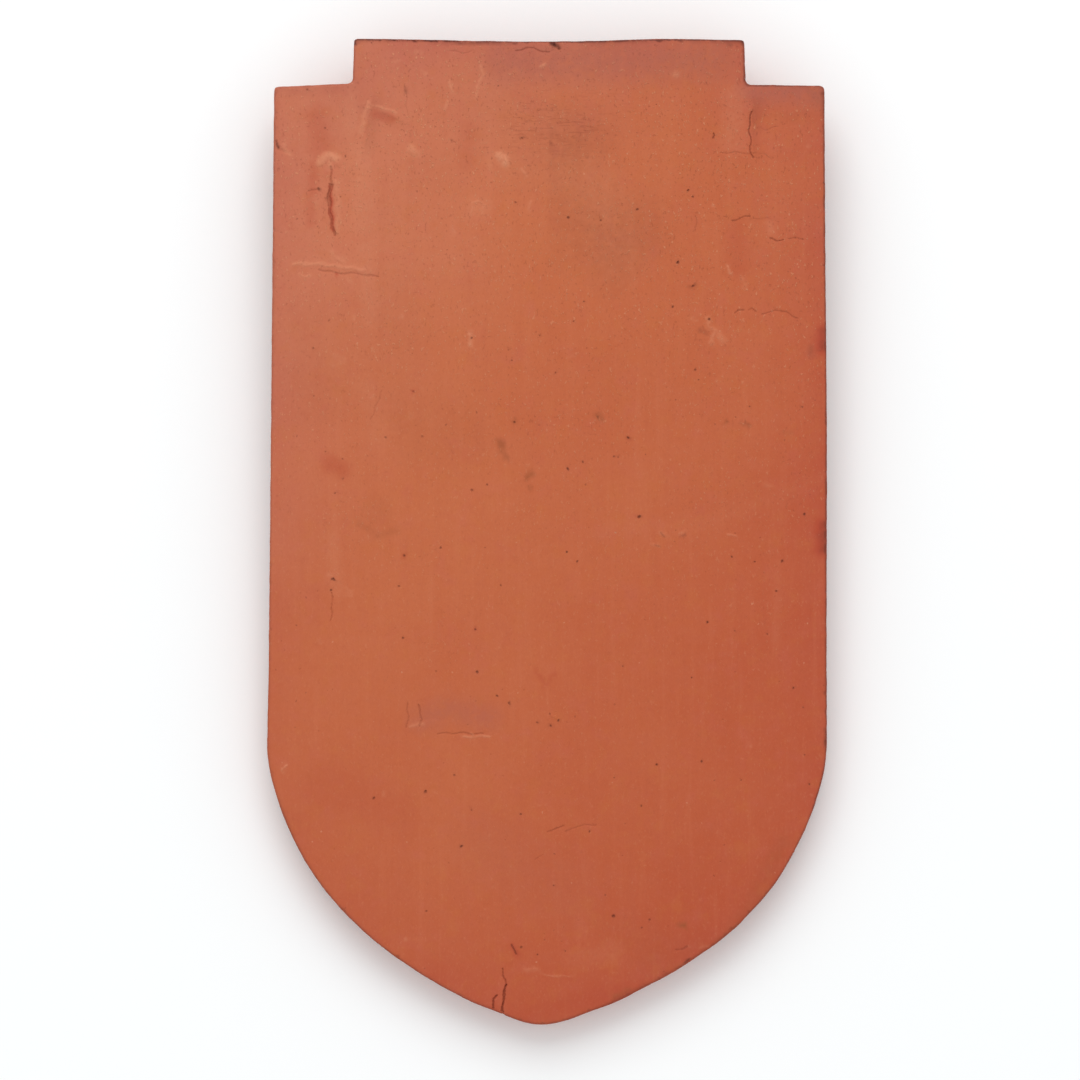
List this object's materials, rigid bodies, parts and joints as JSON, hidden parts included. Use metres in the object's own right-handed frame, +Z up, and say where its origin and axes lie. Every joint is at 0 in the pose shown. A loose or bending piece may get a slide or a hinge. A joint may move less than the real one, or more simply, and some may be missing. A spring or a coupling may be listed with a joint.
{
  "type": "clay roof tile",
  "caption": "Plain fired clay roof tile with a notched head, straight sides and a blunt pointed-arch tail; nibs under the head hook over a roofing batten.",
  "frame": {"origin": "on the floor, below the middle of the tile's outer box, as the tile lies unheld with its nibs and its point on the floor", "axes": "+Z up, +Y along the tile towards its head, +X across the tile, to the right as one looks at the weather face with the head at the top"},
  "size_m": [0.1702, 0.3002, 0.0266],
  "materials": {
    "fired_clay": "matte"
  },
  "bodies": {
    "root": {"roof_tile": "fired_clay"}
  },
  "joints": []
}
